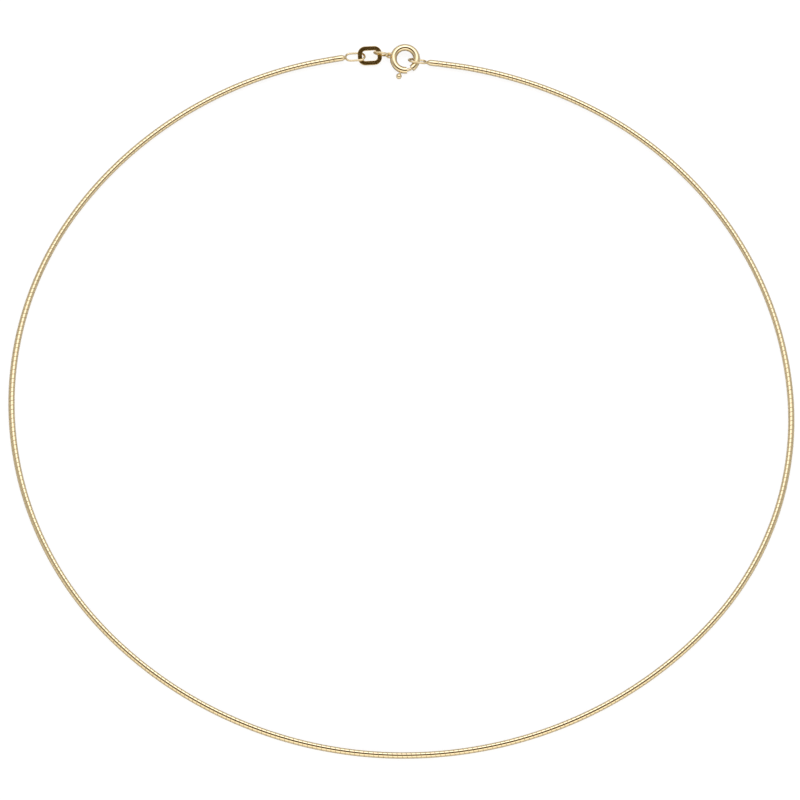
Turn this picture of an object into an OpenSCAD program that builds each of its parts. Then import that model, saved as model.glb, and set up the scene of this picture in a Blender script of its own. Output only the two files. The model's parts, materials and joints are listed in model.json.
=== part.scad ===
// A round neck ring, lying flat and fastened. Its two ends are joined at the back by a clasp of small
// pieces: an end loop, a flat link, a jump ring, a spring ring and the other end loop. Millimetres, +Z up,
// +Y towards the clasp. The origin is under the middle of the whole ring, on the surface it lies on.

/* [Collar] */
// Diameter of the round collar
collar_d = 1.12; // [0.9:0.02:1.4]
// Turn of the front arc, right of the lowest point, in degrees
right_front_turn = 47; // [44:0.5:50]
// Turn of the right side arc
right_side_turn = 46.5; // [44:0.5:49]
// Turn of the arc behind the right side
right_back_turn = 57; // [54:0.5:60]
// Turn of the front arc, left of the lowest point
left_front_turn = 45; // [42:0.5:48]
// Turn of the left side arc
left_side_turn = 79; // [76:0.5:82]
// Radius of the right side arc, along its centreline
right_side_r = 57.8; // [57:0.2:59]
// Radius of the last arc on the right
right_end_r = 75.2; // [72:0.2:78]
// Radius of the front arc on the left
left_front_r = 71.5; // [70:0.5:73]
// Radius of the left side arc
left_side_r = 61.5; // [60:0.5:63]
// Radius of the last arc on the left
left_end_r = 70.65; // [69:0.05:72]
// Slope of the right end towards the clasp, in degrees
right_end_slope = 6; // [5:0.5:7]
// Slope of the left end towards the clasp
left_end_slope = 10; // [9:0.5:11]

/* [End caps and loops] */
// Length of each end cap, with its taper
cap_len = 2.1; // [1.9:0.05:2.4]
// Length of the taper at the tip of a cap
cap_taper = 0.65; // [0.5:0.05:0.9]
// Diameter at the tip of a cap
cap_tip_d = 0.5; // [0.4:0.02:0.7]
// Wire of the end loops
loop_wire_d = 0.38; // [0.34:0.02:0.42]
// Outer length of the right loop
right_loop_len = 3.7; // [3.6:0.05:3.8]
// Outer length of the left loop
left_loop_len = 3.9; // [3.8:0.05:4]
// Outer width of an end loop
loop_w = 2.26; // [2.16:0.02:2.3]
// Bend of each leg of a loop towards its cap, in degrees
loop_bend = 52; // [45:1:70]
// Radius of that bend
loop_bend_r = 0.46; // [0.4:0.02:0.6]
// Lean of the right loop from upright, in degrees
right_loop_lean = 38; // [30:1:42]
// Lean of the left loop from upright
left_loop_lean = 66; // [60:1:74]
// Slope of the right loop along the clasp
right_loop_slope = 8; // [6:0.5:9]
// Slope of the left loop along the clasp
left_loop_slope = 4.5; // [3:0.5:6]

/* [Flat link] */
// Outer length of the flat link
link_len = 4.4; // [4.3:0.05:4.6]
// Outer width of the flat link
link_w = 3.45; // [3.3:0.05:3.6]
// Width of the link's four bars
link_bar = 0.8; // [0.7:0.02:0.86]
// Thickness of the link
link_t = 0.5; // [0.4:0.02:0.54]
// Radius of the link's outer corners
link_corner_r = 1.4; // [1.1:0.05:1.5]
// Tilt of the link, its back edge raised, in degrees
link_tilt = 18; // [12:0.5:20]
// Turn of the link in its own plane
link_turn = 3.3; // [2:0.1:5]

/* [Jump ring] */
// Outer diameter of the jump ring
jump_d = 3.16; // [3.1:0.02:3.4]
// Wire of the jump ring
jump_wire_d = 0.38; // [0.34:0.02:0.4]
// Lean of the jump ring from upright, towards the front
jump_lean = 14; // [11:0.5:16]
// Slope of the jump ring along the clasp
jump_slope = 9.4; // [8:0.2:11]

/* [Spring ring] */
// Outer diameter of the spring ring
ring_d = 5.5; // [5.3:0.05:5.6]
// Diameter of its tube
ring_tube_d = 1.25; // [1.2:0.01:1.28]
// Bore of its tube, in which the latch slides
ring_bore_d = 0.7; // [0.68:0.01:0.76]
// Wire of the latch
latch_wire_d = 0.56; // [0.54:0.01:0.58]
// Where the opening of the ring ends on the right, in degrees from the ring's right
opening_right = -54; // [-56:1:-52]
// Where the opening ends on the left
opening_left = -82; // [-84:1:-80]
// Where the knob of the latch stands when the ring is closed
knob_at = -109; // [-111:1:-107]
// How far the latch slides back, in degrees
latch_travel = 36; // [34:1:38]
// Diameter of the knob
knob_d = 1.05; // [0.95:0.05:1.15]
// Distance of the knob's middle from the ring's middle
knob_out = 3.44; // [3.36:0.02:3.5]
// Where the eye sits on the ring
eye_at = 168; // [165:1:171]
// Hole of the eye
eye_hole_d = 0.56; // [0.54:0.01:0.62]
// Wire of the eye
eye_wire_d = 0.3; // [0.26:0.02:0.36]
// Tilt of the ring, its back edge raised
ring_tilt = 10; // [9:0.5:11]
// Where the right loop holds the ring
hold_at = -10; // [-11:1:-8]

/* [Hidden] */

gold = "#d9b868";
curve_fn = 360;
wire_fn = 48;

// Slack in the clasp as it lies: from the right loop to the ring's tube, from the link's right bar to the
// middle of the jump ring, and from the left loop to the link's left bar
right_slack = 0.6;
link_hang = 0.36;
left_slack = 0.26;
// How far the link has slid to the front along its right bar, how far the left loop lies behind the
// link's middle, and how far the link lies above the middle of that loop
link_slide = 0.07;
left_rise = 0.02;
link_lift = 0.06;
// How far a loop's end is sunk in its cap, where the two are soldered, and how far each leg runs on past
// the point where the two meet
solder_depth = 0.15;
leg_end = 0.12;
// Gap between the collar and each cap
joint_gap = 0.02;
// Free room beside the jump ring's wire in the eye, and round the neck of the knob in its slot
eye_gap = 0.05;
slot_gap = 0.06;
// Neck of the knob, and how many degrees the latch reaches into the tube past the opening and past its neck
latch_neck_d = 0.4;
latch_seat = 4;
latch_tail = 26;
// Spacing of the rings of points along the collar, and the number of points in each
collar_step = 5.6;
collar_sides = 8;

collar_r = collar_d / 2;
ring_r = (ring_d - ring_tube_d) / 2;
loop_gauge = loop_w - loop_wire_d;
jump_r = (jump_d - jump_wire_d) / 2;

// Heights at which the pieces lie: the knob and the jump ring touch the surface, and the loops carry the
// collar's ends at the height of the tube that they hold
ring_h = knob_out * sin(-knob_at) * sin(ring_tilt) + knob_d / 2;
loop_h = ring_h + ring_r * sin(hold_at) * sin(ring_tilt);
jump_h = jump_r * cos(jump_lean) + jump_wire_d / 2;

// A level direction that falls by a slope while it runs to the right, and one that climbs
function falling(a) = [cos(a), -sin(a)];
function climbing(a) = [cos(a), sin(a)];

// Places along the clasp, from the spring ring's middle, each from the piece before it
hold_pt = [ring_r * cos(hold_at), ring_r * sin(hold_at) * cos(ring_tilt)];
right_loop_in = hold_pt - (ring_tube_d / 2 + right_slack + loop_wire_d) * falling(right_loop_slope);
right_tip = right_loop_in + (right_loop_len - solder_depth) * falling(right_loop_slope);
eye_out = ring_d / 2 + jump_wire_d / 2 + eye_gap;
eye_pt = [eye_out * cos(eye_at), eye_out * sin(eye_at) * cos(ring_tilt)];
eye_h = ring_h + eye_out * sin(eye_at) * sin(ring_tilt);
jump_side = asin((jump_h - eye_h) / (jump_r * cos(jump_lean)));
jump_pt = eye_pt - jump_r * cos(jump_side) * falling(jump_slope)
    - jump_r * sin(jump_side) * sin(jump_lean) * [sin(jump_slope), cos(jump_slope)];
link_pt = jump_pt - (link_hang + (link_len - link_bar) / 2) * climbing(link_turn) - [0, link_slide];
left_bar_pt = link_pt - (link_len - link_bar) / 2 * climbing(link_turn);
left_loop_in = left_bar_pt + [link_bar / 2 + left_slack + loop_wire_d, left_rise];
left_tip = left_loop_in - (left_loop_len - solder_depth) * climbing(left_loop_slope);
link_h = loop_h + link_lift;

// Ends of the collar where it meets its caps
right_joint = right_tip + cap_len * falling(right_end_slope);
left_joint = left_tip - cap_len * climbing(left_end_slope);

// Turns of the arcs in each half, counted from the front's lowest point
right_turns = [right_front_turn, right_side_turn, right_back_turn,
    180 - right_end_slope - right_front_turn - right_side_turn - right_back_turn];
left_turns = [left_front_turn, left_side_turn, 180 - left_end_slope - left_front_turn - left_side_turn];

// Heading at the start of an arc, and the way across an arc of radius 1 that turns left from there
function heading(turns, i) = i == 0 ? 0 : heading(turns, i - 1) + turns[i - 1];
function way(turns, i) = let (a = heading(turns, i), b = a + turns[i]) [sin(b) - sin(a), cos(a) - cos(b)];
function travel(turns, radii, n) = n == 0 ? [0, 0]
    : travel(turns, radii, n - 1) + radii[n - 1] * way(turns, n - 1);

// Two radii on the right follow from the others, so that the collar's ends meet the clasp
left_radii = [left_front_r, left_side_r, left_end_r];
left_way = travel(left_turns, left_radii, 3);
right_way = right_joint - left_joint + [-left_way.x, left_way.y];
rest_way = right_way - right_side_r * way(right_turns, 1) - right_end_r * way(right_turns, 3);
spread = cross(way(right_turns, 0), way(right_turns, 2));
right_front_r = cross(rest_way, way(right_turns, 2)) / spread;
right_back_r = cross(way(right_turns, 0), rest_way) / spread;
right_radii = [right_front_r, right_side_r, right_back_r, right_end_r];

// The lowest point of the collar's front, from the spring ring's middle, and the collar's slight lean
front_pt = right_joint - right_way;
collar_lean = atan((loop_h - collar_r) / right_way.y);

// Outermost point to the side: the arc whose heading passes 90 degrees reaches its middle plus its radius
function middle(turns, radii, i) = travel(turns, radii, i)
    + radii[i] * [-sin(heading(turns, i)), cos(heading(turns, i))];

// Places along one half of the collar, each a point and the way out from the neck, mirrored for the left
function places(turns, radii, side) = [
    for (i = [0:len(turns) - 1])
        let (steps = ceil(radii[i] * turns[i] * PI / 180 / collar_step), first = i == 0 ? 0 : 1)
            for (k = [first:steps])
                let (h = heading(turns, i) + turns[i] * k / steps, p = middle(turns, radii, i)
                    + radii[i] * [sin(h), -cos(h)])
                    [side * p.x, p.y, side * sin(h), -cos(h)]
];
function backwards(list) = [for (i = [len(list) - 1:-1:0]) list[i]];
right_reach = middle(right_turns, right_radii, 1).x + right_side_r;
left_reach = middle(left_turns, left_radii, 1).x + left_side_r;

// Middle of the whole outline, which becomes the origin
back_edge = ring_r * cos(ring_tilt) + ring_tube_d / 2;
mid = [front_pt.x + (right_reach - left_reach) / 2, (front_pt.y - collar_r + back_edge) / 2];

// Round wire laid along x and bent to the left, each row [straight run, bend radius, bend angle]
module bent_wire(d, rows, i = 0) {
    if (i < len(rows)) {
        run = rows[i][0];
        bend_r = rows[i][1];
        bend = rows[i][2];
        if (run > 0)
            rotate([0, 90, 0]) cylinder(d = d, h = run, $fn = wire_fn);
        translate([run, bend_r, 0]) {
            if (bend > 0)
                rotate_extrude(angle = bend, start = -90, $fn = curve_fn)
                    translate([bend_r, 0]) circle(d = d, $fn = wire_fn);
            rotate(bend) translate([0, -bend_r, 0]) bent_wire(d, rows, i + 1);
        }
    }
}

// Part of a round ring of wire, from one angle to another
module ring_arc(r, d, from, to) {
    rotate_extrude(angle = to - from, start = from, $fn = curve_fn)
        translate([r, 0]) circle(d = d, $fn = wire_fn);
}

module from_ring_middle() {
    translate([-mid.x, -mid.y, 0]) children();
}

module in_collar_plane() {
    from_ring_middle()
        translate([front_pt.x, front_pt.y, collar_r])
            rotate([collar_lean, 0, 0]) children();
}

module in_ring_plane() {
    from_ring_middle()
        translate([0, 0, ring_h])
            rotate([ring_tilt, 0, 0]) children();
}

// The collar: one round tube swept along its arcs, from the left joint past the front to the right joint
module collar() {
    right = places(right_turns, right_radii, 1);
    route = concat(backwards(places(left_turns, left_radii, -1)), [for (i = [1:len(right) - 1]) right[i]]);
    last = len(route) - 1;
    n = collar_sides;
    points = [
        for (p = route, k = [0:n - 1])
            let (a = 360 * k / n, out = collar_r * cos(a))
                [p.x + out * p[2], p.y + out * p[3], collar_r * sin(a)]
    ];
    walls = [
        for (j = [0:last - 1], k = [0:n - 1])
            let (next = (k + 1) % n)
                [j * n + k, (j + 1) * n + k, (j + 1) * n + next, j * n + next]
    ];
    ends = [[for (k = [0:n - 1]) k], [for (k = [n - 1:-1:0]) last * n + k]];
    color(gold) in_collar_plane() polyhedron(points, concat(walls, ends));
}

// A plain ferrule along x, from its full end near 0 to its tapered tip
module end_cap() {
    rotate([0, 90, 0]) {
        translate([0, 0, joint_gap])
            cylinder(d = collar_d, h = cap_len - cap_taper - joint_gap, $fn = wire_fn);
        translate([0, 0, cap_len - cap_taper])
            cylinder(d1 = collar_d, d2 = cap_tip_d, h = cap_taper, $fn = wire_fn);
    }
}

// A long wire loop with its round end at 0. Its two legs run along x and meet in a point in the cap.
module end_loop(length) {
    leg = (loop_gauge / 2 - loop_bend_r * (1 - cos(loop_bend))) / sin(loop_bend);
    side = length - loop_wire_d - loop_gauge / 2 - loop_bend_r * sin(loop_bend) - leg * cos(loop_bend);
    for (m = [0, 1])
        mirror([0, m, 0]) translate([loop_wire_d / 2, 0, 0])
            rotate(-90)
                bent_wire(loop_wire_d, [
                    [0, loop_gauge / 2, 90],
                    [side, loop_bend_r, loop_bend],
                    [leg + leg_end, 0, 0]
                ]);
}

module right_end_loop() {
    color(gold) {
        in_collar_plane()
            translate([right_way.x, right_way.y, 0])
                rotate(180 - right_end_slope) end_cap();
        from_ring_middle()
            translate([right_loop_in.x, right_loop_in.y, loop_h])
                rotate([0, 0, -right_loop_slope])
                    rotate([90 + right_loop_lean, 0, 0]) end_loop(right_loop_len);
    }
}

module left_end_loop() {
    color(gold) {
        in_collar_plane()
            translate([-left_way.x, left_way.y, 0])
                rotate(left_end_slope) end_cap();
        from_ring_middle()
            translate([left_loop_in.x, left_loop_in.y, loop_h])
                rotate([0, 0, left_loop_slope])
                    rotate([90 + left_loop_lean, 0, 0])
                        mirror([1, 0, 0]) end_loop(left_loop_len);
    }
}

// A flat plate with round corners, its middle at 0
module round_plate(l, w, t, r) {
    cube([l - 2 * r, w, t], center = true);
    cube([l, w - 2 * r, t], center = true);
    for (x = [-1, 1], y = [-1, 1])
        translate([x * (l / 2 - r), y * (w / 2 - r), 0])
            cylinder(r = r, h = t, center = true, $fn = wire_fn);
}

module flat_link() {
    color(gold) from_ring_middle()
        translate([link_pt.x, link_pt.y, link_h])
            rotate([link_tilt, 0, 0]) rotate(link_turn)
                difference() {
                    round_plate(link_len, link_w, link_t, link_corner_r);
                    round_plate(link_len - 2 * link_bar, link_w - 2 * link_bar, 2 * link_t,
                        link_corner_r - link_bar);
                }
}

module jump_ring() {
    color(gold) from_ring_middle()
        translate([jump_pt.x, jump_pt.y, jump_h])
            rotate([0, 0, -jump_slope]) rotate([90 + jump_lean, 0, 0])
                ring_arc(jump_r, jump_wire_d, 0, 360);
}

// The spring ring's tube is open at the lower right, bored all the way round, and slotted on its outside
// for the neck of the knob. A small eye is soldered to its left.
module spring_ring() {
    neck_half = asin((latch_neck_d / 2 + slot_gap) / (ring_d / 2));
    color(gold) in_ring_plane() difference() {
        union() {
            ring_arc(ring_r, ring_tube_d, opening_right, 360 + opening_left);
            rotate(eye_at) translate([eye_out, 0, 0])
                ring_arc((eye_hole_d + eye_wire_d) / 2, eye_wire_d, 0, 360);
        }
        ring_arc(ring_r, ring_bore_d, opening_right - 1, 360 + opening_left + 1);
        rotate_extrude(angle = latch_travel + 2 * neck_half, start = knob_at - latch_travel - neck_half,
                $fn = curve_fn)
            translate([ring_r, -latch_neck_d / 2 - slot_gap])
                square([ring_tube_d, latch_neck_d + 2 * slot_gap]);
    }
}

// The latch: a curved wire that closes the opening, pulled back by its knob against a hidden spring
module latch() {
    color(gold) in_ring_plane() {
        ring_arc(ring_r, latch_wire_d, knob_at - latch_tail, opening_right + latch_seat);
        rotate(knob_at) {
            translate([ring_r, 0, 0]) rotate([0, 90, 0])
                cylinder(d = latch_neck_d, h = knob_out - ring_r, $fn = wire_fn);
            translate([knob_out, 0, 0]) sphere(d = knob_d, $fn = wire_fn);
        }
    }
}

collar();
right_end_loop();
left_end_loop();
flat_link();
jump_ring();
spring_ring();
latch();
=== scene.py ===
# %% [markdown]
# # A wound neck ring with a spring ring clasp
#
# The real thing is a thin springy rod, wound from end to end with one flat gold strip. Its two ends meet at
# the back of the neck in a clasp of small pieces: an end loop, a flat link, a jump ring, a spring ring with
# its latch, and the other end loop.
#
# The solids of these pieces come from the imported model, which this script loads first. It never moves them.
# It winds the strip in place of the collar's plain rod, turns the end caps, breaks the link's sharp edges,
# gives every surface its finish, and sets up the light and the camera.

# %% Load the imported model
import bpy
import bmesh
import json
import math
from mathutils import Matrix, Vector


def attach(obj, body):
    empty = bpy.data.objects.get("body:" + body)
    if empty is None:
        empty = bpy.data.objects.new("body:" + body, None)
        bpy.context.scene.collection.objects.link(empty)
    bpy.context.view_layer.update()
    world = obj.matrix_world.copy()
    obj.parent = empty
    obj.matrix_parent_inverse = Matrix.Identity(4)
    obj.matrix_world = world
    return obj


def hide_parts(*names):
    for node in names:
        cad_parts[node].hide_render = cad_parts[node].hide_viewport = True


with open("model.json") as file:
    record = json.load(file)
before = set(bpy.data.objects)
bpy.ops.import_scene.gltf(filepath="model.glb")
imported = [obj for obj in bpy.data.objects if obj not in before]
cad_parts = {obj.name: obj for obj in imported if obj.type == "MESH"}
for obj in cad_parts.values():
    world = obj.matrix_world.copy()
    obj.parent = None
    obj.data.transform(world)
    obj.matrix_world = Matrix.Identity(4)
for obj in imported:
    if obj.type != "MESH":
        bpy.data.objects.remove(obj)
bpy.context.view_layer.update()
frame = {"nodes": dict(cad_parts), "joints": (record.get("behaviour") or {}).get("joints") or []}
mm = 0.001
print("solids:", sorted(frame["nodes"]))

# %% [markdown]
# ## Camera
#
# The picture was taken from above and a little in front. A camera in Blender looks down its own -Z axis, so
# three turns place it: a pitch away from straight down, a turn about the upright, and a roll in the image.
# The lens is a long one, which keeps the far side of the ring nearly as large as the near side.
#
# The camera aims at a point inside the ring that is measured from the clasp. The latch turns about the
# middle of the spring ring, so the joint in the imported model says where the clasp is.

# %% Camera
camera_elevation = math.radians(72.3)
camera_azimuth = math.radians(-7.34)
camera_roll = math.radians(7.34)
camera_distance = 660 * mm
camera_lens = 167.8
clasp_from_aim = Vector((1.29, 65.01, 0)) * mm
collar_r = 0.56 * mm

ring_middle = Vector(frame["joints"][0]["pos_m"])
looked_at = ring_middle - clasp_from_aim
looked_at.z = collar_r
camera_turn = (
    Matrix.Rotation(camera_azimuth, 3, "Z")
    @ Matrix.Rotation(math.pi / 2 - camera_elevation, 3, "X")
    @ Matrix.Rotation(camera_roll, 3, "Z")
)
to_camera = camera_turn @ Vector((0, 0, 1))

camera = bpy.data.objects.new("camera", bpy.data.cameras.new("camera"))
camera.data.lens = camera_lens
camera.data.sensor_width = 36
camera.data.clip_start = 0.01
camera.data.clip_end = 20
camera.matrix_world = Matrix.Translation(looked_at + camera_distance * to_camera) @ camera_turn.to_4x4()
bpy.context.scene.collection.objects.link(camera)
bpy.context.scene.camera = camera
print("spring ring's middle in mm:", [round(c / mm, 2) for c in ring_middle])
print("camera at", [round(c, 3) for c in camera.matrix_world.translation])

# %% [markdown]
# ## Studio
#
# Polished gold has hardly a colour of its own: it shows what stands round it. The real one lay in a small
# white light tent. Its bands tell how that tent was lit, because every stretch of the collar mirrors another
# part of it. There is a bright panel overhead and behind, a second one in front, and dim walls at the left
# and right. Between the two panels runs a slot about 0.3 m above the ring, and the camera looks in through
# it from a dark room. That slot draws the thin dark line along the collar, and it makes the flat link look
# nearly black.
#
# The tent here is a glowing dome, because a tent has a size: seen from the clasp, its slot stands elsewhere
# than seen from the front of the ring. A world shader would put it infinitely far away. Two angles say where
# a place on the dome lies: how far it leans back from straight up, and how far it leans to the side. Each
# panel is a window in these angles, with soft borders.

# %% Helpers that add shader nodes
def add_node(tree, kind, inputs=None, **settings):
    made = tree.nodes.new(kind)
    for key, value in settings.items():
        setattr(made, key, value)
    for key, value in (inputs or {}).items():
        if isinstance(value, bpy.types.NodeSocket):
            tree.links.new(value, made.inputs[key])
        else:
            made.inputs[key].default_value = value
    return made


def add_math(tree, operation, a, b=0.0, c=0.0):
    return add_node(tree, "ShaderNodeMath", {0: a, 1: b, 2: c}, operation=operation).outputs[0]


def rise(tree, value, border):
    """0 before a border and 1 after it. A border is its middle and half its width, in degrees."""
    middle, half = border
    low, high = math.radians(middle - half), math.radians(middle + half)
    inputs = {"Value": value, "From Min": low, "From Max": high}
    return add_node(tree, "ShaderNodeMapRange", inputs, interpolation_type="SMOOTHSTEP").outputs["Result"]


def fall(tree, value, border):
    """1 before a border and 0 after it."""
    return add_math(tree, "SUBTRACT", 1.0, rise(tree, value, border))


# %% The tent's light, tints and borders
tent_r = 290 * mm
wall_light = 0.62
rear_light = 2.25
front_light_by_slot = 2.1
front_light_low = 1.1
wall_tint = (1.0, 0.98, 0.95, 1)
rear_tint = (0.97, 0.99, 1.14, 1)
slot_dark = (0.066, 0.039, 0.004, 1)
panels_right = math.radians(3.3)

# Each border: its middle and half its width, in degrees back from straight up, or to the side
rear_panel_start = (8, 13)
rear_panel_end = (56, 6)
rear_panel_side = (28, 24)
front_panel_side = (61, 50)
slot_start = (-37, 10)
slot_end = (10, 11)
slot_side = (32, 20)
front_fade_from = math.radians(-38)
front_fade_to = math.radians(-80)
print("tent light: walls", wall_light, "rear", rear_light, "front", front_light_by_slot)

# %% [markdown]
# Every window is a product of such soft steps. From the front backwards, the front panel ends where the slot
# starts, so the two share a border. The front panel is brightest beside the slot and fades towards the floor.

# %% Windows in the tent's cloth
tent_cloth = bpy.data.materials.new("lit_tent_cloth")
tent_cloth.use_nodes = True
tent_cloth.cycles.emission_sampling = "NONE"
tent = tent_cloth.node_tree
tent.nodes.clear()
place = add_node(tent, "ShaderNodeTexCoord").outputs["Object"]
place = add_node(tent, "ShaderNodeVectorMath", {0: place}, operation="NORMALIZE").outputs["Vector"]
place = add_node(tent, "ShaderNodeSeparateXYZ", {0: place})
backward = add_math(tent, "ARCTAN2", place.outputs["Y"], place.outputs["Z"])
sideways = add_math(tent, "SUBTRACT", add_math(tent, "ARCSINE", place.outputs["X"]), panels_right)
sideways = add_math(tent, "ABSOLUTE", sideways)

rear_panel = add_math(
    tent, "MULTIPLY", rise(tent, backward, rear_panel_start), fall(tent, backward, rear_panel_end)
)
rear_panel = add_math(tent, "MULTIPLY", rear_panel, fall(tent, sideways, rear_panel_side))
front_panel = add_math(
    tent, "MULTIPLY", fall(tent, backward, slot_start), fall(tent, sideways, front_panel_side)
)
slot = add_math(tent, "MULTIPLY", rise(tent, backward, slot_start), fall(tent, backward, slot_end))
slot = add_math(tent, "MULTIPLY", slot, fall(tent, sideways, slot_side))
front_fade = add_node(
    tent,
    "ShaderNodeMapRange",
    {
        "Value": backward,
        "From Min": front_fade_from,
        "From Max": front_fade_to,
        "To Min": front_light_by_slot - wall_light,
        "To Max": front_light_low - wall_light,
    },
).outputs["Result"]
print("tent cloth:", len(tent.nodes), "nodes for its windows")

# %% [markdown]
# The windows mix the light of the walls, the panels and the slot. The cloth glows on its inner side only.
# From outside it is clear, so the camera can stand where it stood and look in.

# %% Glow of the tent's cloth
brightness = add_math(tent, "MULTIPLY_ADD", rear_panel, rear_light - wall_light, wall_light)
brightness = add_math(tent, "MULTIPLY_ADD", front_panel, front_fade, brightness)
tint = add_node(
    tent, "ShaderNodeMix", {0: rear_panel, 6: wall_tint, 7: rear_tint}, data_type="RGBA"
).outputs[2]
cloth_light = add_node(
    tent, "ShaderNodeVectorMath", {0: tint, "Scale": brightness}, operation="SCALE"
).outputs[0]
inner_light = add_node(
    tent, "ShaderNodeMix", {0: slot, 6: cloth_light, 7: slot_dark}, data_type="RGBA"
).outputs[2]
glow = add_node(tent, "ShaderNodeEmission", {"Color": inner_light, "Strength": 1.0}).outputs[0]
see_through = add_node(tent, "ShaderNodeBsdfTransparent").outputs[0]
outside = add_node(tent, "ShaderNodeNewGeometry").outputs["Backfacing"]
one_way = add_node(tent, "ShaderNodeMixShader", {0: outside, 1: glow, 2: see_through}).outputs[0]
add_node(tent, "ShaderNodeOutputMaterial", {"Surface": one_way})
print("tent cloth:", len(tent.nodes), "nodes")

# %% The tent's dome in a dark room
tent_mesh = bpy.data.meshes.new("light_tent")
tent_build = bmesh.new()
bmesh.ops.create_icosphere(tent_build, subdivisions=5, radius=tent_r)
bmesh.ops.reverse_faces(tent_build, faces=tent_build.faces)
tent_build.to_mesh(tent_mesh)
tent_build.free()
tent_mesh.materials.append(tent_cloth)
tent_dome = bpy.data.objects.new("light_tent", tent_mesh)
bpy.context.scene.collection.objects.link(tent_dome)
bpy.context.scene.world = bpy.data.worlds.new("dark_room")
bpy.context.scene.view_settings.view_transform = "Standard"
print("light tent:", 2 * tent_r, "m wide")

# %% [markdown]
# The floor is a plain white sheet. A catalogue picture's background is pushed to pure white afterwards, and
# the metal in it still mirrors the sheet as it was: a little grey, and darker in the ring's own shadow. That
# gives the rod its thin dark edges. The Light Path node tells the two apart, because it knows whether a ray
# comes straight from the camera. Only those rays see the sheet glow. The tent and the floor are the only
# things here that aren't part of the object.

# %% Floor
sheet_white = 0.8
seen_white = 0.22
seen_glow = 0.86
sheet_roughness = 0.9

floor_mesh = bpy.data.meshes.new("floor")
floor_build = bmesh.new()
bmesh.ops.create_circle(floor_build, cap_ends=True, segments=96, radius=tent_r)
floor_build.to_mesh(floor_mesh)
floor_build.free()
floor = bpy.data.objects.new("floor", floor_mesh)
bpy.context.scene.collection.objects.link(floor)
floor_paint = bpy.data.materials.new("white_sheet")
floor_paint.use_nodes = True
floor_paint.cycles.emission_sampling = "NONE"
sheet = floor_paint.node_tree
paint = sheet.nodes["Principled BSDF"]
paint.inputs["Roughness"].default_value = sheet_roughness
paint.inputs["Specular IOR Level"].default_value = 0.0
paint.inputs["Emission Color"].default_value = (1, 1, 1, 1)
from_camera = add_node(sheet, "ShaderNodeLightPath").outputs["Is Camera Ray"]
white = add_math(sheet, "MULTIPLY_ADD", from_camera, seen_white - sheet_white, sheet_white)
white = add_node(sheet, "ShaderNodeCombineXYZ", {"X": white, "Y": white, "Z": white}).outputs[0]
sheet.links.new(white, paint.inputs["Base Color"])
sheet.links.new(add_math(sheet, "MULTIPLY", from_camera, seen_glow), paint.inputs["Emission Strength"])
floor_mesh.materials.append(floor_paint)
print("floor:", 2 * tent_r, "m across")

# %% [markdown]
# ## Gold
#
# Every gold surface is the same metal with another history. The strip was drawn through rollers, so it has
# fine lines along its length. The clasp was tumbled, so its scratches run every way. Both are polished, and
# what tells them from a mirror is small: a slow change of roughness, and a bump far finer than a wire.
#
# A metallic Principled shader takes its reflected colour from Base Color. The colour here is that of 14
# carat yellow gold, and a little noise moves it, because no real piece is quite even. The flat link is cut
# from another plate, which is a deeper gold and was left more uneven by the rolling.

# %% Gold
wire_pale = (0.78, 0.64, 0.39, 1)
wire_deep = (0.70, 0.56, 0.32, 1)
plate_pale = (0.74, 0.54, 0.23, 1)
plate_deep = (0.58, 0.40, 0.14, 1)
tone_scale = 900.0
tone_range = (0.3, 0.62)
scratch_depth = 0.01 * mm


def gold(name, coordinates, stretch, roughness, scratch, pale=wire_pale, deep=wire_deep):
    """Polished gold. coordinates is Object, or the name of an attribute that follows the surface."""
    made = bpy.data.materials.new(name)
    made.use_nodes = True
    tree = made.node_tree
    shader = tree.nodes["Principled BSDF"]
    shader.inputs["Metallic"].default_value = 1.0
    if coordinates == "Object":
        place = add_node(tree, "ShaderNodeTexCoord").outputs["Object"]
    else:
        place = add_node(tree, "ShaderNodeAttribute", attribute_name=coordinates).outputs["Vector"]
    tone_inputs = {"Vector": place, "Scale": tone_scale, "Detail": 3.0}
    tone = add_node(tree, "ShaderNodeTexNoise", tone_inputs).outputs["Fac"]
    colour = add_node(tree, "ShaderNodeValToRGB", {"Fac": tone})
    for stop, position, shade in zip(colour.color_ramp.elements, tone_range, (deep, pale)):
        stop.position = position
        stop.color = shade
    tree.links.new(colour.outputs["Color"], shader.inputs["Base Color"])
    low, high = roughness
    rough = add_node(tree, "ShaderNodeMapRange", {"Value": tone, "To Min": high, "To Max": low})
    tree.links.new(rough.outputs["Result"], shader.inputs["Roughness"])
    stretched = add_node(tree, "ShaderNodeMapping", {"Vector": place, "Scale": stretch}).outputs["Vector"]
    fine_inputs = {"Vector": stretched, "Scale": 1.0, "Detail": 4.0}
    fine = add_node(tree, "ShaderNodeTexNoise", fine_inputs).outputs["Fac"]
    bump = add_node(tree, "ShaderNodeBump", {"Height": fine, "Strength": scratch, "Distance": scratch_depth})
    tree.links.new(bump.outputs["Normal"], shader.inputs["Normal"])
    return made


# %% Three finishes
strip_gold = gold(
    "drawn_gold_strip", "strip", stretch=(400, 30000, 30000), roughness=(0.03, 0.08), scratch=0.05
)
clasp_gold = gold(
    "tumbled_gold", "Object", stretch=(9000, 9000, 9000), roughness=(0.02, 0.06), scratch=0.05
)
plate_gold = gold(
    "rolled_gold_plate",
    "Object",
    stretch=(5000, 5000, 5000),
    roughness=(0.02, 0.06),
    scratch=2.0,
    pale=plate_pale,
    deep=plate_deep,
)
print("finishes:", strip_gold.name, clasp_gold.name, plate_gold.name)

# %% [markdown]
# Between two turns of the strip a hair of the core shows. On the real one it is metal too, dull and dark
# because hardly any light gets in. Here that shade is painted: the core's colour is nearly black, so each
# groove shows painted shade.

# %% Core finish with painted shade
core_roughness = 0.55
# Nearly black colours: painted shade for the grooves between the turns, not the core metal's own colour
core_shade_pale = (0.05, 0.036, 0.02, 1)
core_shade_deep = (0.02, 0.014, 0.008, 1)
core_tone_scale = 2500.0

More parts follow.
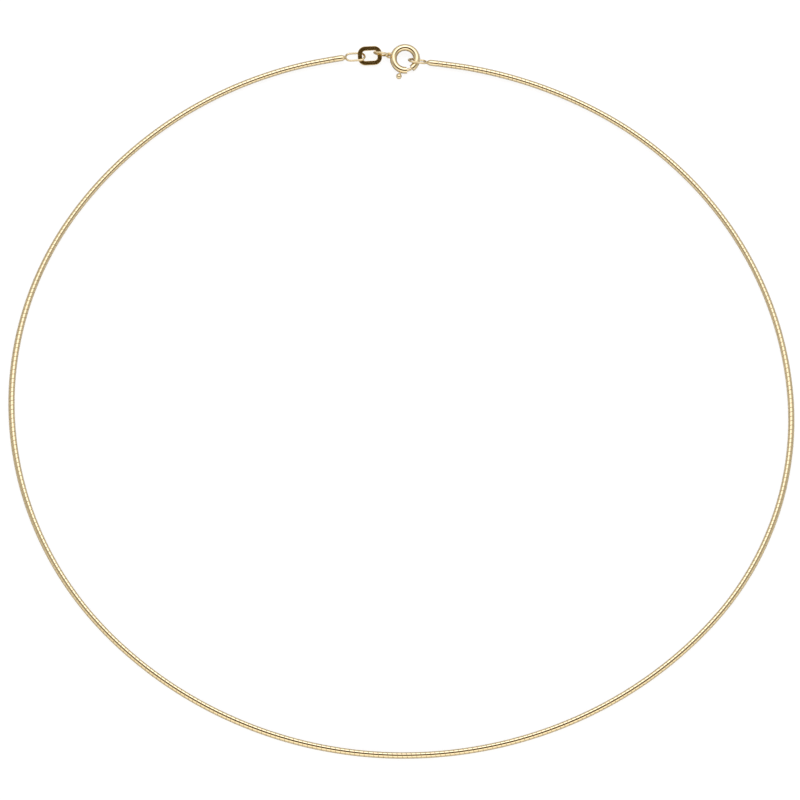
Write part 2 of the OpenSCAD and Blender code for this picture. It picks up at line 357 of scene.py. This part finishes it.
core_shade_paint = bpy.data.materials.new("core_wire_painted_shade")
core_shade_paint.use_nodes = True
core_nodes = core_shade_paint.node_tree
core_shader = core_nodes.nodes["Principled BSDF"]
core_shader.inputs["Metallic"].default_value = 1.0
core_shader.inputs["Roughness"].default_value = core_roughness
core_place = add_node(core_nodes, "ShaderNodeTexCoord").outputs["Object"]
core_tone = add_node(
    core_nodes, "ShaderNodeTexNoise", {"Vector": core_place, "Scale": core_tone_scale, "Detail": 2.0}
).outputs["Fac"]
core_shade_colour = add_node(core_nodes, "ShaderNodeValToRGB", {"Fac": core_tone})
core_shade_colour.color_ramp.elements[0].color = core_shade_deep
core_shade_colour.color_ramp.elements[1].color = core_shade_pale
core_nodes.links.new(core_shade_colour.outputs["Color"], core_shader.inputs["Base Color"])
print("core finish:", core_shade_paint.name)

# %% [markdown]
# ## Paths and wires
#
# A wire is a circle carried along a path. Geometry Nodes does that with Curve to Mesh, and its Scale input
# lets the circle grow and shrink on the way. So one small tree makes every wire here, and the tapered end
# caps too. The path is a mesh of points and edges, and each point carries its own radius in an attribute
# called gauge.
#
# The tree's result is turned into a plain mesh with new_from_object, so that the finished piece
# needs no modifier.

# %% Helpers for node trees and finished pieces
def new_tree(name, inputs):
    """A Geometry Nodes tree with named inputs. Gives the tree, its two end nodes and the identifiers."""
    tree = bpy.data.node_groups.new(name, "GeometryNodeTree")
    tree.interface.new_socket(name="Geometry", in_out="INPUT", socket_type="NodeSocketGeometry")
    tree.interface.new_socket(name="Geometry", in_out="OUTPUT", socket_type="NodeSocketGeometry")
    keys = {}
    for label, kind in inputs.items():
        keys[label] = tree.interface.new_socket(name=label, in_out="INPUT", socket_type=kind).identifier
    return tree, tree.nodes.new("NodeGroupInput"), tree.nodes.new("NodeGroupOutput"), keys


def run_tree(name, base, tree, keys, values):
    """Puts a tree on a base mesh, and returns what it makes as an object with a plain mesh."""
    carrier = bpy.data.objects.new(name + "_carrier", base)
    bpy.context.scene.collection.objects.link(carrier)
    modifier = carrier.modifiers.new("nodes", "NODES")
    modifier.node_group = tree
    for label, value in values.items():
        modifier[keys[label]] = value
    bpy.context.view_layer.update()
    evaluated = carrier.evaluated_get(bpy.context.evaluated_depsgraph_get())
    mesh = bpy.data.meshes.new_from_object(evaluated)
    mesh.name = name
    bpy.data.objects.remove(carrier)
    piece = bpy.data.objects.new(name, mesh)
    bpy.context.scene.collection.objects.link(piece)
    return piece


def path_mesh(name, points, gauges, closed=False):
    """A path as a mesh: points joined in a row, each with its radius in the attribute gauge."""
    mesh = bpy.data.meshes.new(name)
    edges = [(i, i + 1) for i in range(len(points) - 1)]
    if closed:
        edges.append((len(points) - 1, 0))
    mesh.from_pydata([tuple(p) for p in points], edges, [])
    attribute = mesh.attributes.new("gauge", "FLOAT", "POINT")
    attribute.data.foreach_set("value", [float(g) for g in gauges])
    return mesh


# %% Tree that carries a circle along a path
wire_tree, wire_in, wire_out, wire_keys = new_tree(
    "wire_on_path", {"Sides": "NodeSocketInt", "Finish": "NodeSocketMaterial"}
)
wire_path = add_node(wire_tree, "GeometryNodeMeshToCurve", {"Mesh": wire_in.outputs["Geometry"]})
wire_circle = add_node(
    wire_tree, "GeometryNodeCurvePrimitiveCircle", {"Resolution": wire_in.outputs["Sides"], "Radius": 1.0}
)
wire_gauge = add_node(wire_tree, "GeometryNodeInputNamedAttribute", {"Name": "gauge"}, data_type="FLOAT")
wire_body = add_node(
    wire_tree,
    "GeometryNodeCurveToMesh",
    {
        "Curve": wire_path.outputs["Curve"],
        "Profile Curve": wire_circle.outputs["Curve"],
        "Scale": wire_gauge.outputs["Attribute"],
        "Fill Caps": True,
    },
)
wire_smooth = add_node(wire_tree, "GeometryNodeSetShadeSmooth", {"Geometry": wire_body.outputs["Mesh"]})
wire_real = add_node(wire_tree, "GeometryNodeRealizeInstances", {"Geometry": wire_smooth.outputs["Geometry"]})
wire_finish = add_node(
    wire_tree,
    "GeometryNodeSetMaterial",
    {"Geometry": wire_real.outputs["Geometry"], "Material": wire_in.outputs["Finish"]},
)
wire_tree.links.new(wire_finish.outputs["Geometry"], wire_out.inputs["Geometry"])


def wire(name, points, gauges, closed=False, sides=32, finish=clasp_gold):
    """A round wire on a path, with its own radius at each point."""
    base = path_mesh(name + "_path", points, gauges, closed)
    return run_tree(name, base, wire_tree, wire_keys, {"Sides": sides, "Finish": finish})


print("wire tree:", len(wire_tree.nodes), "nodes")

# %% [markdown]
# ## The collar's route
#
# The collar's solid is a tube, swept through rings of eight corners. The middle of each ring lies on the
# rod's centreline, so the route is read back from the solid: sort the corners by their angle round the neck,
# cut the row wherever the angle jumps, and take the middle of each group.

# %% The collar's route
def ring_middles(node, jump=math.radians(1)):
    """The middles of a swept tube's rings. Its triangles repeat every corner, so equal ones count once."""
    corners = {tuple(round(c, 7) for c in v.co) for v in node.data.vertices}
    round_neck = sorted((math.atan2(-c[0], c[1]) % math.tau, Vector(c)) for c in corners)
    groups = [[round_neck[0]]]
    for before, here in zip(round_neck, round_neck[1:]):
        if here[0] - before[0] > jump:
            groups.append([])
        groups[-1].append(here)
    return [sum((c for _, c in group), Vector()) / len(group) for group in groups]


route = ring_middles(frame["nodes"]["collar"])
route_length = sum((b - a).length for a, b in zip(route, route[1:]))
print(len(route), "points,", round(route_length / mm, 1), "mm long")

# %% [markdown]
# ## The wound strip
#
# This is the piece that makes the neck ring what it is: nearly five hundred turns of one flat strip. It could
# be faked with dark rings on a tube, or with five hundred copies of a bead. But the marks on the real one
# lean a little, as a screw's thread does, and only a winding does that.
#
# The strip's section is a flat bar with its outer corners rounded. The rounding catches the light beside
# each groove, so it is drawn corner by corner. One more corner on the flat keeps the broad face's shading
# even.

# %% The strip's cross-section
strip_thick = 0.13 * mm
strip_turn = 0.819 * mm
groove_half = 0.016 * mm
edge_round = 0.03 * mm
# How far each corner is in from the edge and down from the outer face, as a share of edge_round
edge_corners = [(0, 1), (0.35, 0.25), (1, 0), (1.8, 0)]

turns = round(route_length / strip_turn)
strip_half = strip_turn / 2 - groove_half
right_side_up = [(strip_half, 0)]
for inward, down in edge_corners:
    right_side_up.append((strip_half - inward * edge_round, strip_thick - down * edge_round))
section = right_side_up + [(-y, z) for y, z in reversed(right_side_up)]

# Curve to Mesh lays the profile's x along -y and its y along -z of a strip that runs along x
section_corners = [(-y, -z, 0) for y, z in section]
section_edges = [(i, (i + 1) % len(section)) for i in range(len(section))]
section_mesh = bpy.data.meshes.new("strip_section")
section_mesh.from_pydata(section_corners, section_edges, [])
section_outline = bpy.data.objects.new("strip_section", section_mesh)
bpy.context.scene.collection.objects.link(section_outline)
print(turns, "turns,", len(section), "corners across")

# %% [markdown]
# The winding tree does what the goldsmith does. It lays out a straight strip, and then winds it. In the
# straight strip, x counts turns, y runs across the strip, and z is the height above its inner face. Half a
# turn is laid out to spare at each end. Every point keeps its place in the straight strip in an attribute
# called strip, which the winding reads, and which the gold's fine lines follow.

# %% Winding tree: its inputs
wind_tree, wind_in, wind_out, wind_keys = new_tree(
    "wound_strip",
    {
        "Section": "NodeSocketObject",
        "Turns": "NodeSocketFloat",
        "Steps": "NodeSocketInt",
        "Rod radius": "NodeSocketFloat",
        "Strip thickness": "NodeSocketFloat",
        "Strip width": "NodeSocketFloat",
        "Finish": "NodeSocketMaterial",
    },
)


def wind_math(operation, a, b=0.0, c=0.0):
    return add_math(wind_tree, operation, a, b, c)


def wind_vector(operation, a, b=None, scale=None):
    """Leave b or scale out where the operation has no such socket."""
    given = {0: a, 1: b, "Scale": scale}
    inputs = {key: value for key, value in given.items() if value is not None}
    return add_node(wind_tree, "ShaderNodeVectorMath", inputs, operation=operation).outputs["Vector"]


print("winding tree's inputs:", ", ".join(wind_keys))

# %% Winding tree: the straight strip
spare_turn = 0.5

start = add_node(wind_tree, "ShaderNodeCombineXYZ", {"X": -spare_turn}).outputs[0]
last_turn = wind_math("ADD", wind_in.outputs["Turns"], spare_turn)
end = add_node(wind_tree, "ShaderNodeCombineXYZ", {"X": last_turn}).outputs[0]
straight = add_node(wind_tree, "GeometryNodeCurvePrimitiveLine", {"Start": start, "End": end})
straight = add_node(
    wind_tree,
    "GeometryNodeResampleCurve",
    {"Curve": straight.outputs["Curve"], "Count": wind_in.outputs["Steps"]},
).outputs["Curve"]
outline = add_node(wind_tree, "GeometryNodeObjectInfo", {"Object": wind_in.outputs["Section"]})
outline = add_node(wind_tree, "GeometryNodeMeshToCurve", {"Mesh": outline.outputs["Geometry"]})
strip = add_node(
    wind_tree,
    "GeometryNodeCurveToMesh",
    {"Curve": straight, "Profile Curve": outline.outputs["Curve"], "Fill Caps": True},
).outputs["Mesh"]
flat_place = add_node(wind_tree, "GeometryNodeInputPosition").outputs[0]
strip = add_node(
    wind_tree,
    "GeometryNodeStoreNamedAttribute",
    {"Geometry": strip, "Name": "strip", "Value": flat_place},
    data_type="FLOAT_VECTOR",
).outputs["Geometry"]
stored = add_node(
    wind_tree, "GeometryNodeInputNamedAttribute", {"Name": "strip"}, data_type="FLOAT_VECTOR"
).outputs["Attribute"]
on_strip = add_node(wind_tree, "ShaderNodeSeparateXYZ", {0: stored})
print("winding tree:", len(wind_tree.nodes), "nodes for the straight strip")

# %% [markdown]
# A point's place along the route follows from its count of turns and its place across the strip. At the ends
# that place is held at the joint, which trims the strip square. Each corner of the section is held a little
# short of the joint, by its distance from the strip's edge, so that the trimmed end keeps its rounded edge.

# %% Winding tree: the place along the route
route_smoothness = 16

centreline = add_node(wind_tree, "GeometryNodeMeshToCurve", {"Mesh": wind_in.outputs["Geometry"]})
centreline = add_node(
    wind_tree,
    "GeometryNodeCurveSplineType",
    {"Curve": centreline.outputs["Curve"]},
    spline_type="CATMULL_ROM",
)
centreline = add_node(
    wind_tree,
    "GeometryNodeSetSplineResolution",
    {"Geometry": centreline.outputs["Curve"], "Resolution": route_smoothness},
).outputs["Geometry"]
length = add_node(wind_tree, "GeometryNodeCurveLength", {"Curve": centreline}).outputs["Length"]

turn_length = wind_math("DIVIDE", length, wind_in.outputs["Turns"])
along = wind_math("MULTIPLY_ADD", on_strip.outputs["X"], turn_length, on_strip.outputs["Y"])
half_width = wind_math("MULTIPLY", wind_in.outputs["Strip width"], 0.5)
from_edge = wind_math("SUBTRACT", half_width, wind_math("ABSOLUTE", on_strip.outputs["Y"]))
along = wind_math("MAXIMUM", along, from_edge)
along = wind_math("MINIMUM", along, wind_math("SUBTRACT", length, from_edge))
on_route = add_node(
    wind_tree,
    "GeometryNodeSampleCurve",
    {"Curves": centreline, "Length": along},
    mode="LENGTH",
    use_all_curves=True,
)
print("winding tree:", len(wind_tree.nodes), "nodes with the route")

# %% [markdown]
# The last step turns each point round the rod: one full turn for each turn that x counts. Outward and upward
# are the two directions square to the route, and the point lies at its own height above the core.

# %% Winding tree: the place round the rod
forward = on_route.outputs["Tangent"]
outward = wind_vector("NORMALIZE", wind_vector("CROSS_PRODUCT", forward, (0, 0, 1)))
upward = wind_vector("CROSS_PRODUCT", outward, forward)
angle = wind_math("MULTIPLY", on_strip.outputs["X"], -math.tau)
inner_r = wind_math("SUBTRACT", wind_in.outputs["Rod radius"], wind_in.outputs["Strip thickness"])
reach = wind_math("ADD", inner_r, on_strip.outputs["Z"])
out_part = wind_vector("SCALE", outward, scale=wind_math("MULTIPLY", reach, wind_math("COSINE", angle)))
up_part = wind_vector("SCALE", upward, scale=wind_math("MULTIPLY", reach, wind_math("SINE", angle)))
wound_place = wind_vector("ADD", on_route.outputs["Position"], wind_vector("ADD", out_part, up_part))
wound = add_node(wind_tree, "GeometryNodeSetPosition", {"Geometry": strip, "Position": wound_place})
wound = add_node(
    wind_tree,
    "GeometryNodeMergeByDistance",
    {"Geometry": wound.outputs["Geometry"], "Distance": 0.0001 * mm},
)
wound = add_node(wind_tree, "GeometryNodeSetShadeSmooth", {"Geometry": wound.outputs["Geometry"]})
wound = add_node(wind_tree, "GeometryNodeRealizeInstances", {"Geometry": wound.outputs["Geometry"]})
wound = add_node(
    wind_tree,
    "GeometryNodeSetMaterial",
    {"Geometry": wound.outputs["Geometry"], "Material": wind_in.outputs["Finish"]},
)
wind_tree.links.new(wound.outputs["Geometry"], wind_out.inputs["Geometry"])
print("winding tree:", len(wind_tree.nodes), "nodes")

# %% [markdown]
# The tree runs on the route, and its result stands for the collar's plain rod. Sixteen steps a turn are
# enough for a rod of 1.1 mm, and they keep five hundred turns light.

# %% Wind the strip on the route
steps_per_turn = 16
strip_steps = (turns + 1) * steps_per_turn + 1

route_base = path_mesh("collar_route", route, [collar_r] * len(route))
collar_winding = run_tree(
    "collar_winding",
    route_base,
    wind_tree,
    wind_keys,
    {
        "Section": section_outline,
        "Turns": float(turns),
        "Steps": strip_steps,
        "Rod radius": collar_r,
        "Strip thickness": strip_thick,
        "Strip width": 2 * strip_half,
        "Finish": strip_gold,
    },
)
bpy.data.objects.remove(section_outline)
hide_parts("collar")
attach(collar_winding, "root")
print("collar winding:", len(collar_winding.data.polygons), "faces")

# %% [markdown]
# The core is a plain wire a hair thinner than the strip's inner face. It follows the same route.

# %% Core wire
core_gap = 0.01 * mm
core_sides = 12
core_r = collar_r - strip_thick - core_gap

# The core's finish is painted shade: nearly black, for the grooves between the turns.
core_wire = wire("collar_core", route, [core_r] * len(route), sides=core_sides, finish=core_shade_paint)
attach(core_wire, "root")
print("core wire:", round(2 * core_r / mm, 2), "mm across")

# %% [markdown]
# ## Clasp
#
# The clasp's small pieces are wire and tube, bent and soldered. The solids of the jump ring, the spring ring
# and its latch already have the right shapes, so they stay and only get their finish. It is the strip's own
# gold, but the scratches run every way, because such pieces are polished together in a tumbling drum.

# %% Clasp in the shared finish
for name in ("jump_ring", "spring_ring", "latch"):
    node = frame["nodes"][name]
    node.data.materials.clear()
    node.data.materials.append(clasp_gold)
    print(name, "smooth faces:", sum(f.use_smooth for f in node.data.polygons), "of", len(node.data.polygons))

# %% [markdown]
# The flat link is stamped from plate. Its faces are a little uneven from the rolling, and polishing has
# broken its edges. The Bevel modifier rounds edges, but a solid's mesh is loose triangles with no edge in
# common. So the link is a copy of that mesh with its doubles merged, bevelled, and it stands for the solid.
# Its two broad faces are shaded flat, because a plate mirrors one small stretch of the tent, and a normal
# that drifts towards the edges would mirror all of it.

# %% Flat link with broken edges
link_edge = 0.06 * mm
link_edge_steps = 3
sharp_angle = math.radians(30)
flat_angle = math.radians(1)

link_mesh = frame["nodes"]["flat_link"].data.copy()
link_build = bmesh.new()
link_build.from_mesh(link_mesh)
bmesh.ops.remove_doubles(link_build, verts=link_build.verts, dist=0.001 * mm)
bmesh.ops.recalc_face_normals(link_build, faces=link_build.faces)
plate_normal = max(link_build.faces, key=lambda face: face.calc_area()).normal.copy()
sharp = [edge for edge in link_build.edges if edge.calc_face_angle(0) > sharp_angle]
bmesh.ops.bevel(
    link_build, geom=sharp, offset=link_edge, segments=link_edge_steps, profile=0.5, affect="EDGES"
)
for face in link_build.faces:
    face.smooth = abs(face.normal.dot(plate_normal)) < math.cos(flat_angle)
link_build.to_mesh(link_mesh)
link_build.free()
link_mesh.materials.clear()
link_mesh.materials.append(plate_gold)
link_plate = bpy.data.objects.new("flat_link_plate", link_mesh)
bpy.context.scene.collection.objects.link(link_plate)
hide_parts("flat_link")
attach(link_plate, "root")
print("flat link:", len(link_mesh.polygons), "faces")

# %% [markdown]
# Each end of the collar sits in a cap that is turned on a lathe. Its open edge is broken, which draws a fine
# dark line at the joint, and its tip is rounded down to a drop of solder. A lathe cuts such a piece from a
# profile, and so does the wire tree: a straight path whose radius changes from point to point is a turned
# piece.
#
# The drop of solder holds a long wire loop. Its outline is a straight-sided oval with one end drawn in a
# little towards the cap, and it is worked out from the wire's bends, as the solid's is.

# %% Turned cap's profile and the wire loop's outline
# Distance from the joint and radius, in mm
cap_profile = [
    (0.02, 0.510),
    (0.05, 0.545),
    (0.09, 0.560),
    (1.38, 0.560),
    (1.50, 0.552),
    (1.62, 0.530),
    (1.76, 0.485),
    (1.90, 0.422),
    (2.02, 0.355),
    (2.12, 0.298),
    (2.22, 0.250),
]
cap_sides = 48
cap_len = 2.1 * mm
loop_r = 0.19 * mm
loop_half = 0.94 * mm
loop_bend_r = 0.88 * mm
loop_bend = math.radians(72)
loop_bend_steps = 8
loop_end_steps = 24
loop_past_cap = 0.04 * mm


def loop_outline(length):
    """An oval along x with its drawn-in end at 0. length is from end to end, between the wire's middles."""
    leg = (loop_half - loop_bend_r * (1 - math.cos(loop_bend))) / math.sin(loop_bend)
    side_start = leg * math.cos(loop_bend) + loop_bend_r * math.sin(loop_bend)
    half = []
    for step in range(loop_bend_steps + 1):
        turn = loop_bend * (1 - step / loop_bend_steps)
        drop = loop_bend_r * (1 - math.cos(turn))
        half.append((side_start - loop_bend_r * math.sin(turn), loop_half - drop))
    far = []
    for step in range(loop_end_steps + 1):
        turn = math.pi * step / loop_end_steps
        far.append((length - loop_half + loop_half * math.sin(turn), loop_half * math.cos(turn)))
    return [(0, 0)] + half + far + [(x, -y) for x, y in reversed(half)]


print("cap:", len(cap_profile), "corners in its profile,", cap_len / mm, "mm long")

# %% [markdown]
# The cap runs on in the direction that the collar has at its joint, and the loop starts inside its drop of
# solder. Cap and loop are soldered, so they are joined into one piece, which stands for the solid.

# %% Cap and loop as one piece
up = Vector((0, 0, 1))


def cap_with_loop(name, node, ends, slope, lean, length):
    """ends are the route's last three points, from the joint. The loop slopes and leans by two angles."""
    joint, near, far = ends
    # A chord has the curve's direction at its middle, so half a step more gives the direction at the joint
    outward = 1.5 * (joint - near).normalized() - 0.5 * (near - far).normalized()
    outward.normalize()
    points = [joint + along * mm * outward for along, _ in cap_profile]
    cap = wire(name + "_cap", points, [radius * mm for _, radius in cap_profile], sides=cap_sides)

    towards_clasp = Vector((math.copysign(math.cos(slope), outward.x), math.sin(slope), 0))
    back = up.cross(towards_clasp)
    if back.y < 0:
        back.negate()
    across = up * math.cos(lean) - back * math.sin(lean)
    start = joint + cap_len * outward + loop_past_cap * towards_clasp
    points = [start + x * towards_clasp + y * across for x, y in loop_outline(length)]
    loop = wire(name + "_loop", points, [loop_r] * len(points), closed=True)

    build = bmesh.new()
    build.from_mesh(cap.data)
    build.from_mesh(loop.data)
    build.to_mesh(cap.data)
    build.free()
    bpy.data.objects.remove(loop)
    cap.name = name
    cap.data.name = name
    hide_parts(node)
    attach(cap, "root")
    print(name, "has", len(cap.data.polygons), "faces")


# %% [markdown]
# The two loops slope and lean as the clasp lies. The left one lies flatter. The right one stands up more,
# because it goes round the spring ring's tube.

# %% Turned caps and wire loops
left_slope, left_lean = math.radians(4.5), math.radians(66)
left_loop_length = 3.52 * mm
right_slope, right_lean = math.radians(8), math.radians(38)
right_loop_length = 3.32 * mm

cap_with_loop(
    "left_cap_and_loop", "left_end_loop", route[:3], left_slope, left_lean, left_loop_length
)
cap_with_loop(
    "right_cap_and_loop", "right_end_loop", route[:-4:-1], right_slope, right_lean, right_loop_length
)
